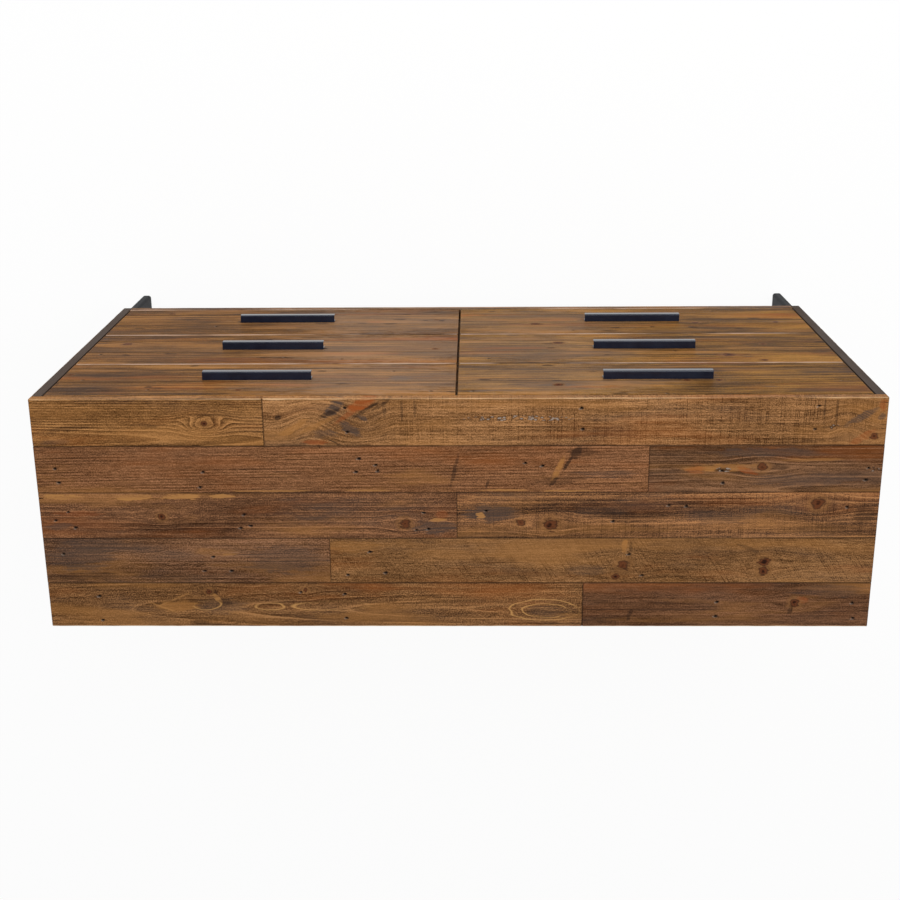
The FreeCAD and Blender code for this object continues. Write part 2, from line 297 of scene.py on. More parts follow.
plain_look = dict(
    middle=(117, 81, 52), dark_share=(0.52, 0.46, 0.38), light_share=(1.50, 1.56, 1.66), ring=5.0,
    heart=(12.0, 60.0), heart_spread=None, rise=0.0, slant=0.0, bend=12.0, ripple=2.0, line=0.30, shade=0.34,
    figure=0.52, streak=0.26, streak_waves=(1.6, 44.0), grain=0.30, mottle=0.30, speckle=0.56, blotch=0.24,
    # The edge colour in the line below is wear on rubbed edges, and on the top's rims also a painted
    # highlight.
    fleck=0.12, grey=0.45, warm=0.40, gold=0.45, edge_wear_and_highlight=(204, 168, 128), rough=0.45, ior=1.07,
    saw=0.0, saw_turn=0.0, saw_pitch=4.0, saw_until=800.0, wild_knots=False,
    knots=(), nails=(), stains=(), chips=(), loops=(), swirls=(), cracks=(),
)

# Layers of noise: waves to the metre along the grain and across it, detail and roughness.

noise_layers = dict(
    bends=(1.3, 5.0, 2.0, 0.5), ripples=(7.0, 45.0, 2.0, 0.5), strays=(17.0, 60.0, 2.0, 0.5),
    ring_fade=(3.5, 26.0, 3.0, 0.5), grain=(5.0, 300.0, 2.0, 0.7), mottle=(60.0, 330.0, 2.0, 0.7),
    speckle=(420.0, 460.0, 2.0, 0.6), blotch=(4.0, 17.0, 4.0, 0.5), fleck=(20.0, 230.0, 2.0, 0.6),
    weather=(3.4, 15.0, 5.0, 0.6), warmth=(2.2, 13.0, 4.0, 0.6), fibres=(7.0, 230.0, 3.0, 0.6),
    torn=(34.0, 120.0, 4.0, 0.65), saw_sway=(3.0, 14.0, 2.0, 0.5), saw_patches=(6.0, 20.0, 3.0, 0.5),
)
middle_tone = 0.45
ring_stray = (26 * mm, 7 * mm, 0.0)
saw_fade = 0.04
wood_relief = 0.5 * mm
endless = 1000.0

crisp_stains = ("tan",)
stain_colours = {
    "grey": (74, 61, 54),
    "dark": (46, 32, 24),
    "tan": (170, 121, 70),
    "orange": (146, 76, 36),
    "gold": (160, 110, 60),
    # The pale shade serves only the painted sheen of the drawer fronts.
    "pale": (178, 152, 130),
    "chip": (166, 150, 137),
    "loop": (192, 144, 86),
    "rust": (150, 84, 38),
    "hole": (28, 22, 19),
    # The next colour darkens seams and board ends: grime, and painted shade where boards meet.
    "dirt_and_shade": (34, 26, 21),
    "flank": (78, 68, 62),
}

# A knot from its middle outwards: the place in knot_reach radii, the colour and its cover.

knot_shades = (
    (0.00, (40, 23, 17), 1.0), (0.10, (70, 39, 24), 1.0), (0.22, (98, 56, 33), 0.95),
    (0.33, (84, 49, 31), 0.9), (0.40, (56, 36, 25), 0.9), (0.48, (110, 74, 45), 0.6),
    (0.58, (140, 97, 57), 0.45), (0.95, (120, 82, 49), 0.0),
)
knot_reach = 2.4

# How much longer along the grain than across it a knot is, and the grain that it pushes aside, how far that
# reaches, and how much of the way the grain moves. A knot round which the grain bends at least eye_halo radii
# away is an eye, with rings of its own.

knot_stretch = 1.15
halo_stretch = 2.2
halo_end = 1.6
knot_pull = 0.8
eye_halo = 5.0
eye_pull = 0.97
eye_stretch = 1.9
eye_rings = 3.4
strewn_cells = (2.6, 8.5, 1.0)
strewn_radius = (0.2 * mm, 7.5 * mm)
strewn_pull = 0.75
strewn_squeeze = (0.22, 0.55, 0.0)

# In mm: half the width of a row of chips, the pale rim beside a nail hole and its place, and the rust in the
# hole. The chips' cells are so many to the metre.

chip_half_width = 5.0
chip_cells = (110.0, 170.0, 1.0)
nail_rim = (3.2, 1.8)
nail_rim_shift = (1.8, 1.4)
nail_rust = (3.4, 2.2)

grain_axes = {
    "top": lambda paint, x, y, z: paint.join(x, y, z),
    "front": lambda paint, x, y, z: paint.join(x, z, paint.times(y, -1.0)),
    "side": lambda paint, x, y, z: paint.join(z, y, paint.math("ABSOLUTE", x)),
    "deep": lambda paint, x, y, z: paint.join(y, z, x),
}


def shifted(paint, start, place, layer, reach):
    """A start moved by chance, by up to about half of the reach along each axis."""
    chance = paint.layer(layer, place, "Color")
    return paint.vector("MULTIPLY_ADD", paint.vector("SUBTRACT", chance, (0.5, 0.5, 0.5)), reach, start)


def strewn_knots(paint, place):
    """Knots strewn over a board: the nearest's distance in radii, and how far it moves the grain."""
    found = paint.cells(place, strewn_cells, loose=0.8)
    middle = paint.vector("DIVIDE", found["Position"], strewn_cells)
    apart = paint.vector("MULTIPLY", paint.vector("SUBTRACT", place, middle), (1.0, 1.0, 0.0))
    radius = paint.slope(paint.split(found["Color"])[0], 0.45, 1.0, *strewn_radius)
    distance = paint.math("DIVIDE", paint.vector("LENGTH", apart), radius)
    squeezed = paint.vector("LENGTH", paint.vector("MULTIPLY", apart, strewn_squeeze))
    pull = paint.slope(paint.math("DIVIDE", squeezed, radius), 0.0, halo_end, strewn_pull, 0.0)
    return distance, paint.times(paint.split(apart)[1], pull)


def grain_flow(paint, seen, place, look):
    """The board's own coordinates, bent as its grain bends, and the distances to its knots."""
    bend, ripple = look["bend"] * mm, look["ripple"] * mm
    moved = shifted(paint, place, place, "bends", (0.0, bend, bend))
    moved = shifted(paint, moved, place, "ripples", (0.0, ripple, ripple))
    across = paint.split(seen)[1]
    distances = []
    for knot_along, knot_across, radius, halo in look["knots"]:
        distances.append(paint.ellipse(seen, knot_along, knot_across, radius * knot_stretch, radius))
        away = paint.ellipse(seen, knot_along, knot_across, radius * halo * halo_stretch, radius * halo)
        pull = paint.slope(away, 0.0, halo_end, eye_pull if halo >= eye_halo else knot_pull, 0.0)
        aside = paint.times(paint.math("SUBTRACT", across, knot_across * mm), pull)
        moved = paint.vector("SUBTRACT", moved, paint.join(0.0, aside, 0.0))
    for swirl_along, swirl_across, half_length, half_width, turn in look["swirls"]:
        offset = paint.vector("SUBTRACT", seen, (swirl_along * mm, swirl_across * mm, 0.0))
        turned = paint.node("ShaderNodeVectorRotate", rotation_type="Z_AXIS")
        paint.put(turned, vector=offset, angle=math.radians(turn))
        away = paint.ellipse(seen, swirl_along, swirl_across, half_length, half_width)
        near = paint.slope(away, 0.2, 1.2, 1.0, 0.0)
        shift = paint.vector("SUBTRACT", turned.outputs[0], offset)
        moved = paint.vector("MULTIPLY_ADD", shift, paint.join(near, near, 0.0), moved)
    if look["wild_knots"]:
        distance, aside = strewn_knots(paint, place)
        distances.append(distance)
        moved = paint.vector("SUBTRACT", moved, paint.join(0.0, aside, 0.0))
    return moved, distances


def growth_rings(paint, seen, strayed, place, moved, chances, look):
    """The figure that growth rings draw on the board, from dark lines below 0 to bright lines above 0."""
    across, deep = paint.split(moved)[1:]
    along = paint.split(seen)[0]
    heart_across, heart_deep = look["heart"]
    across_heart = paint.math("SUBTRACT", across, heart_across * mm)
    across_heart = paint.add(across_heart, along, -look["slant"])
    climb = paint.times(along, look["rise"])
    if look["heart_spread"]:
        spread_across, spread_deep = look["heart_spread"]
        across_heart = paint.add(across_heart, chances[0], spread_across * mm)
        deep = paint.add(deep, chances[1], spread_deep * mm)
        climb = paint.times(climb, paint.add(-1.0, chances[2], 2.0))
    deep_heart = paint.math("ADD", paint.math("ADD", climb, deep), heart_deep * mm)
    from_heart = paint.vector("LENGTH", paint.join(0.0, across_heart, deep_heart))
    phase = paint.math("DIVIDE", from_heart, look["ring"] * mm)
    for knot_along, knot_across, radius, halo in look["knots"]:
        if halo >= eye_halo:
            away = paint.ellipse(strayed, knot_along, knot_across, radius * halo * eye_stretch, radius * halo)
            phase = paint.add(phase, paint.slope(away, 0.0, 1.2, 1.0, 0.0), eye_rings)
    year = paint.dice(paint.math("FLOOR", phase))
    levels = (1.0, 0.42, 0.36, 0.36 - look["shade"], 1.0)
    stops = zip((0.0, look["line"], 0.6, 0.94, 1.0), levels)
    shades = [(stop, (level, level, level, 1.0)) for stop, level in stops]
    profile = paint.ramp(paint.math("FRACT", phase), shades)[0]
    strength = paint.add(0.35, year, 1.1)
    fade = paint.slope(paint.layer("ring_fade", place), 0.34, 0.62, 0.3, 1.25)
    return paint.times(paint.math("SUBTRACT", profile, 0.40), paint.times(strength, fade))


def grain_layers(paint, place, moved, look):
    """The other layers that make the tone rise and fall, each about 0."""
    along, across = look["streak_waves"]
    layers = {"streak": paint.grade(paint.noise(moved, (along, across, across), detail=4.0, rough=0.6))}
    for name, where in (("grain", moved), ("mottle", moved), ("speckle", place), ("blotch", place)):
        layers[name] = paint.grade(paint.layer(name, where))
    flecks = paint.layer("fleck", moved)
    pale, dark = paint.slope(flecks, 0.40, 0.30), paint.slope(flecks, 0.58, 0.68)
    return {**layers, "fleck": paint.math("SUBTRACT", pale, dark)}


def saw_marks(paint, seen_along, place, grain, look):
    """Where a coarse saw left lines across the grain, as 0 to 1."""
    along, across = paint.split(place)[:2]
    turn = math.radians(look["saw_turn"])
    run = paint.math("ADD", paint.times(along, math.cos(turn)), paint.times(across, math.sin(turn)))
    sway = paint.times(paint.layer("saw_sway", place), 1.6)
    phase = paint.add(sway, run, 1.0 / (look["saw_pitch"] * mm))
    depth = paint.slope(paint.dice(paint.math("FLOOR", phase)), 0.35, 1.0)
    off_line = paint.math("ABSOLUTE", paint.math("SUBTRACT", paint.math("FRACT", phase), 0.5))
    lines = paint.times(paint.slope(off_line, 0.10, 0.42, 1.0, 0.0), depth)
    patches = paint.slope(paint.layer("saw_patches", place), 0.36, 0.56, 0.2, 1.0)
    end = look["saw_until"] * mm
    patches = paint.times(patches, paint.slope(seen_along, end, end - saw_fade))
    return paint.times(paint.times(lines, patches), paint.slope(grain, -0.3, 0.2, 1.0, 0.2))


def paint_clouds(paint, moved, through, chances, look):
    """Lays grey, rusty and golden clouds over the wood, and says how grey each place is."""
    weather = paint.layer("weather", moved)
    greyness, redness = look["grey"], look["warm"]
    if look["heart_spread"]:
        greyness = paint.add(0.4 * greyness, chances[0], 1.2 * greyness)
        redness = paint.add(0.4 * redness, chances[1], 1.2 * redness)
    weathered = paint.times(paint.slope(weather, 0.47, 0.66, 0.0, greyness), through)
    paint.cover("grey", weathered)
    warmth = paint.layer("warmth", moved)
    paint.cover("rust", paint.times(paint.slope(warmth, 0.50, 0.70, 0.0, redness), through))
    paint.cover("gold", paint.slope(warmth, 0.49, 0.33, 0.0, look["gold"]))
    return weathered


def paint_stains(paint, seen, fibres, torn, through, layers, stains):
    """Lays stains, and the fronts' painted sheen, over the wood. Those along the grain fray along its fibres.
    """
    flat_fray = paint.join(paint.times(fibres, 1.8), paint.times(torn, 2.2), 0.0)
    turned_fray = paint.join(paint.times(torn, 1.2), paint.times(torn, 2.4), 0.0)
    for stain, along, across, half_length, half_width, turn, strength in stains:
        fray = turned_fray if turn else flat_fray
        away = paint.ellipse(seen, along, across, half_length, half_width, turn, fray)
        if stain in crisp_stains:
            share = paint.slope(paint.add(away, layers["mottle"], 0.3), 0.84, 1.0, strength, 0.0)
            share = paint.times(share, paint.slope(layers["grain"], 0.4, 0.0, 0.4, 1.0))
        else:
            share = paint.times(paint.slope(away, 0.62, 1.12, strength, 0.0), through, clamp=True)
        paint.cover(stain, share)


def paint_loops(paint, strayed, blotches, loops):
    """Draws thin pale lines where a ring shows as a closed loop."""
    distances = []
    for along, across, half_length, half_width in loops:
        away = paint.ellipse(strayed, along, across, half_length, half_width)
        off_line = paint.math("ABSOLUTE", paint.math("SUBTRACT", away, 1.0))
        distances.append(paint.times(off_line, half_width))
    drawn = paint.slope(paint.nearest(distances), 0.1, 1.1, 1.0, 0.0)
    paint.cover("loop", paint.times(drawn, paint.slope(blotches, -0.25, 0.1, 0.15, 0.7)))


def paint_chips(paint, seen, place, mottles, torn, chips):
    """Strews rows of pale chips over the wood, each in a dark rim of painted shade for the chip's broken
    hollow.
    """
    spans = [paint.ellipse(seen, (first + last) / 2, across, abs(last - first) / 2, chip_half_width)
             for first, last, across in chips]
    near = paint.slope(paint.add(paint.nearest(spans), torn, 0.8), 0.8, 1.1, 1.0, 0.0)
    flakes = paint.add(paint.cells(place, chip_cells)["Distance"], mottles, 0.3)
    # Each chip's dark rim is painted shade for its hollow; its pale middle is bare wood.
    for stain, start, end in (("dark", 0.55, 0.35), ("chip", 0.30, 0.18)):
        paint.cover(stain, paint.times(paint.slope(flakes, start, end, 0.0, 0.65), near))


def paint_knots(paint, distances, mottles, torn):
    """Lays knots of uneven outline over the wood."""
    uneven = paint.add(paint.add(paint.nearest(distances), mottles, 0.6), torn, 2.0)
    stops = [(stop, linear(shade)[:3] + (cover,)) for stop, shade, cover in knot_shades]
    shade, cover = paint.ramp(paint.math("DIVIDE", uneven, knot_reach), stops)
    paint.colour = paint.mix(cover, paint.colour, shade)


def paint_nails(paint, seen, mottles, nails):
    """Darkens the nail holes with rust, and lays a pale rim on one side of each."""
    rims = [(along + nail_rim_shift[0], across + nail_rim_shift[1]) for along, across in nails]
    rim = paint.add(paint.spots(seen, rims, *nail_rim), mottles, 1.2)
    paint.cover("chip", paint.slope(rim, 0.6, 1.3, 0.4, 0.0))
    rust = paint.add(paint.spots(seen, nails, *nail_rust), mottles, 0.7)
    paint.cover("hole", paint.slope(rust, 0.5, 1.6, 0.95, 0.0))


def paint_edges(paint, streaks, edge_wear_and_highlight):
    """Lays wear and painted highlight on a board's edges above 0, grime and painted shade below 0, and grey
    on a narrow side.
    """
    edge = paint.attribute("edge", "Fac")
    patchy = paint.times(edge, paint.add(1.0, streaks, 1.3))
    # Edges above 0 take wear and a painted highlight, those below 0 grime and painted shade, and narrow sides
    # below -1.2 grey.
    paint.colour = paint.mix(paint.slope(patchy, 0.4, 1.4, 0.0, 0.85), paint.colour, linear(edge_wear_and_highlight))
    paint.cover("dirt_and_shade", paint.slope(edge, 0.0, -1.0, 0.0, 0.85))
    paint.cover("flank", paint.slope(edge, -1.2, -2.0, 0.0, 0.7))


def wood(name, axes, changes):
    """Stained pine: rings, fibres, stains, knots, nail rust, saw marks, and wear and grime on its edges, with
    painted highlight and shade there and in its chips, and on the drawer fronts a painted sheen.
    """
    look = {**plain_look, **changes}
    paint = Paint(name)
    seen = grain_axes[axes](paint, *paint.split(paint.frame))
    board = paint.attribute("board", "Vector")
    place = paint.vector("SUBTRACT", seen, board)
    chances = paint.split(paint.dice(paint.split(board)[0], "Color"))
    moved, knot_distances = grain_flow(paint, seen, place, look)
    strayed = shifted(paint, seen, place, "strays", ring_stray)
    figure = growth_rings(paint, seen, strayed, place, moved, chances, look)
    layers = {**grain_layers(paint, place, moved, look), "figure": figure}
    grain, mottles = layers["grain"], layers["mottle"]

    tone = paint.math("ADD", paint.attribute("tone", "Fac"), middle_tone)
    for layer, value in layers.items():
        tone = paint.add(tone, value, look[layer])
    height = paint.math("ADD", grain, paint.add(paint.times(mottles, 0.5), figure, 0.5))
    if look["saw"]:
        saw = saw_marks(paint, paint.split(seen)[0], place, grain, look)
        tone = paint.add(tone, saw, -look["saw"])
        height = paint.add(height, saw, -1.6 * look["saw"])
    dark, light = ([value * share for value, share in zip(look["middle"], look[shares])]
                   for shares in ("dark_share", "light_share"))
    stops = ((0.0, dark), (middle_tone, look["middle"]), (1.0, light))
    paint.colour = paint.ramp(tone, [(stop, linear(shade)) for stop, shade in stops])[0]

    through = paint.add(0.85, grain, -0.6)
    weathered = paint_clouds(paint, moved, through, chances, look)
    fibres = paint.math("SUBTRACT", paint.layer("fibres", moved), 0.5)
    torn = paint.math("SUBTRACT", paint.layer("torn", place), 0.5)
    paint_stains(paint, seen, fibres, torn, through, layers, look["stains"])
    if look["loops"]:
        paint_loops(paint, strayed, layers["blotch"], look["loops"])
    if look["chips"]:
        paint_chips(paint, seen, place, mottles, torn, look["chips"])
    if knot_distances:
        paint_knots(paint, knot_distances, mottles, torn)
    if look["nails"]:
        paint_nails(paint, seen, mottles, look["nails"])
    paint_edges(paint, layers["streak"], look["edge_wear_and_highlight"])
    rough = paint.add(look["rough"], layers["blotch"], 0.16)
    rough = paint.add(rough, weathered, 0.25, clamp=True)
    paint.set(base_color=paint.colour, roughness=rough, ior=look["ior"])
    paint.bump(height, wood_relief)
    return paint.material


def powder_coat(name, dark, light, rough, ior, gloss):
    """Black powder coat with a fine orange peel, a little dust and a share of gloss on top."""
    paint = Paint(name)
    peel = paint.noise(paint.frame, (900.0,) * 3)
    dust = paint.noise(paint.frame, (30.0,) * 3, detail=4.0, rough=0.6)
    colour = paint.ramp(dust, [(0.3, linear(dark)), (0.7, linear(light))])[0]
    paint.set(base_color=colour, roughness=paint.add(rough - 0.08, dust, 0.16), ior=ior)
    paint.set(coat_weight=gloss, coat_roughness=0.1, coat_ior=1.3)
    paint.bump(peel, 0.12 * mm, 0.5)
    return paint.material


def zinc(name):
    """Zinc-plated steel with rolling lines along its length and cloudy passivation."""
    paint = Paint(name)
    lines = paint.noise(paint.frame, (700.0, 5.0, 700.0), detail=3.0)
    cloud = paint.noise(paint.frame, (18.0,) * 3, detail=4.0)
    colour = paint.ramp(cloud, [(0.3, linear((150, 152, 156))), (0.7, linear((188, 189, 190)))])[0]
    paint.set(base_color=colour, roughness=paint.add(0.22, lines, 0.25), metallic=1.0)
    paint.bump(lines, 0.1 * mm, 0.4)
    return paint.material


def plastic(name):
    """Black nylon with a fine moulded grain and scuffs."""
    paint = Paint(name)
    grain = paint.noise(paint.frame, (1400.0,) * 3)
    scuffs = paint.noise(paint.frame, (240.0, 240.0, 60.0), detail=4.0)
    colour = paint.ramp(scuffs, [(0.35, linear((22, 22, 23))), (0.75, linear((48, 47, 46)))])[0]
    paint.set(base_color=colour, roughness=paint.add(0.4, scuffs, 0.3))
    paint.bump(grain, 0.1 * mm, 0.5)
    return paint.material


# Boards


def new_boards():
    """An empty mesh that keeps each board's own frame and tone, and how much each edge is lightened or
    darkened.
    """
    made = bmesh.new()
    made.faces.layers.float_vector.new("board")
    made.faces.layers.float.new("tone")
    made.verts.layers.float.new("edge")
    return made


def placed(axes, values):
    """A vector with these values along these axes."""
    made = Vector((0.0, 0.0, 0.0))
    for axis, value in zip(axes, values):
        made[axis] = value
    return made


def add_board(mesh, low, high, along, face, round_face, edges=(0.0, 0.0, 0.0), seed=0, tone=0.0, slot=0,
              flank=0.0, round_back=back_radius, step=board_step):
    """Adds a board whose rounded edges wear unevenly. along is the axis of its grain, and face is the axis
    and side of its face. edges says how much the face is lightened or darkened along its low edge, its high
    edge and its ends, and flank says it of the whole narrow side below the low edge."""
    face_axis, face_side = face
    across = 3 - along - face_axis
    board_layer = mesh.faces.layers.float_vector["board"]
    tone_layer = mesh.faces.layers.float["tone"]
    edge_layer = mesh.verts.layers.float["edge"]
    start, end = low[along], high[along]
    side_low, side_high = low[across], high[across]
    face_level = high[face_axis] if face_side > 0 else low[face_axis]
    thickness = high[face_axis] - low[face_axis]

    def wear(position, edge):
        share = 1.0
        for waves, edge_step, seed_step, strength in edge_waves:
            share += strength * noise.noise(Vector((position * waves, edge * edge_step, seed * seed_step)))
        return round_face * share

    def station(position, inset, at_end):
        """A cross section, as places across the board, depths below its face, and wear."""
        first, last = side_low + inset, side_high - inset
        shallow, full = inset, thickness - inset
        low_radius, high_radius = wear(position, 0), wear(position, 1)
        low_reach, high_reach = edge_spread * low_radius, edge_spread * high_radius
        low_mark, high_mark, face_mark = (edges[2],) * 3 if at_end else (*edges[:2], 0.0)
        turns = [(1 - math.cos(angle), 1 - math.sin(angle)) for angle in edge_arc]
        loop = [(first, shallow + low_radius + edge_band, flank)]
        loop += [(first + low_reach * out, shallow + low_radius * back, low_mark) for out, back in turns]
        loop.append((first + low_reach + edge_band, shallow, face_mark))
        loop.append((last - high_reach - edge_band, shallow, face_mark))
        loop += [(last - high_reach * back, shallow + high_radius * out, high_mark) for out, back in turns]
        loop.append((last, shallow + high_radius + edge_band, 0.0))
        loop += [(last - round_back * out, full - round_back * back, 0.0) for out, back in turns]
        loop += [(first + round_back * back, full - round_back * out, flank) for out, back in turns]
        made = []
        for side, depth, mark in loop:
            level = face_level - face_side * depth
            vertex = mesh.verts.new(placed((along, across, face_axis), (position, side, level)))
            vertex[edge_layer] = mark
            made.append(vertex)
        return made

    count = max(2, round((end - start) / step))
    rounding = [(0.0, round_face), (0.3 * round_face, 0.3 * round_face), (round_face, 0.0)]
    run = round_face + edge_band
    length = end - start - 2 * run
    places = [(start + offset, inset, True) for offset, inset in rounding]
    places += [(start + run + length * index / count, 0.0, False) for index in range(count + 1)]
    places += [(end - offset, inset, True) for offset, inset in reversed(rounding)]
    loops = [station(*place) for place in places]
    faces = [mesh.faces.new(loops[0]), mesh.faces.new(loops[-1])] + bridged(mesh, loops)
    for made in faces:
        made[board_layer] = (-trunk_step * (seed + 1), (side_low + side_high) / 2, face_side * face_level)
        made[tone_layer] = tone
        made.material_index = slot
    bmesh.ops.recalc_face_normals(mesh, faces=faces)


def bridged(mesh, loops):
    """New faces between each loop of corners and the next."""
    made = []
    for near, far in zip(loops, loops[1:]):
        for i in range(len(near)):
            after = (i + 1) % len(near)
            made.append(mesh.faces.new((near[i], near[after], far[after], far[i])))
    return made


def add_pit(mesh, place, outward, radius, depth):
    """A tapering hole, as a nail leaves it."""
    proud = 1.5 * mm
    turn = outward.to_track_quat("Z", "Y").to_matrix().to_4x4()
    middle = place + outward * (proud - depth) / 2
    bmesh.ops.create_cone(mesh, cap_ends=True, segments=nail_corners, radius1=radius * nail_foot,
                          radius2=radius * nail_mouth, depth=depth + proud,
                          matrix=Matrix.Translation(middle) @ turn)


def add_crack(mesh, place, outward, run, length, seed):
    """A long slit with a sharp foot, widest near its middle and not quite straight."""
    proud = 1.0 * mm
    sideways = outward.cross(run)
    loops = []
    for index in range(crack_steps + 1):
        share = index / crack_steps
        swell = math.sin(math.pi * share) ** crack_swell + crack_tip
        stray = noise.noise(Vector((share * crack_waves, seed, 0.0))) * crack_stray
        middle = place + run * length * (share - 0.5) + sideways * stray
        half = crack_width / 2 * swell
        corners = (middle - sideways * half + outward * proud, middle + sideways * half + outward * proud,
                   middle - outward * crack_depth * swell)
        loops.append([mesh.verts.new(corner) for corner in corners])
    mesh.faces.new(loops[0])
    mesh.faces.new(loops[-1])
    bridged(mesh, loops)
    bmesh.ops.recalc_face_normals(mesh, faces=mesh.faces)


def as_object(mesh, name):
    """An object of its own for a mesh in the making."""
    data = bpy.data.meshes.new(name)
    mesh.to_mesh(data)
    mesh.free()
    made = bpy.data.objects.new(name, data)
    bpy.context.scene.collection.objects.link(made)
    return made


def piece(name, mesh, body, node, materials):
    """Makes an object of a mesh, lets it ride on a body and hides the CAD node whose place it takes."""
    made = as_object(mesh, name)
    for material in materials:
        made.data.materials.append(material)
    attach(made, body)
    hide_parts(node)
    return made


def carved(mesh, tool_mesh):
    """A board's mesh with a tool's shape taken out of it."""
    board = as_object(mesh, "board")
    tool = as_object(tool_mesh, "tool")
    modifier = board.modifiers.new("cut", "BOOLEAN")
    modifier.operation = "DIFFERENCE"
    modifier.solver = "EXACT"
    modifier.use_self = True
    modifier.object = tool
    result = bpy.data.meshes.new_from_object(board.evaluated_get(bpy.context.evaluated_depsgraph_get()))
    if len(result.vertices) < len(board.data.vertices):
        raise RuntimeError("a board was lost while it was cut")
    made = bmesh.new()
    made.from_mesh(result)
    bpy.data.meshes.remove(result)
    for used in (board, tool):
        data = used.data
        bpy.data.objects.remove(used)
        bpy.data.meshes.remove(data)
    return made


def marked(mesh, low, high, along, face, nails, cracks, seed):
    """A board's mesh with nail holes and cracks cut into its face, where they lie on it."""
    face_axis, face_side = face
    across = 3 - along - face_axis
    level = high[face_axis] if face_side > 0 else low[face_axis]
    outward = placed((face_axis,), (face_side,))
    draw = random.Random(seed)

    def on_face(first, second):
        point = placed((along, across, face_axis), (first * mm, second * mm, level))
        inside = low[along] < point[along] < high[along] and low[across] < point[across] < high[across]
        return point if inside else None

    tool = bmesh.new()
    for first, second in nails:
        place = on_face(first, second)
        radius = draw.uniform(*nail_radius)
        if place:
            add_pit(tool, place, outward, radius, nail_depth)
    for number, (first, second, length, turn) in enumerate(cracks):
        place = on_face(first, second)
        angle = math.radians(turn)
        run = placed((along, across), (math.cos(angle), math.sin(angle)))
        if place:
            add_crack(tool, place, outward, run, length * mm, seed + number)
    if not tool.verts:
        tool.free()
        return mesh
    return carved(mesh, tool)


def append(mesh, other):
    """Adds another mesh in the making to this one."""
    data = bpy.data.meshes.new("other")
    other.to_mesh(data)
    other.free()
    mesh.from_mesh(data)
    bpy.data.meshes.remove(data)


# The ten planks of the top. Places are x and y in mm, and a knot's last number is how many radii the grain
# bends round it.

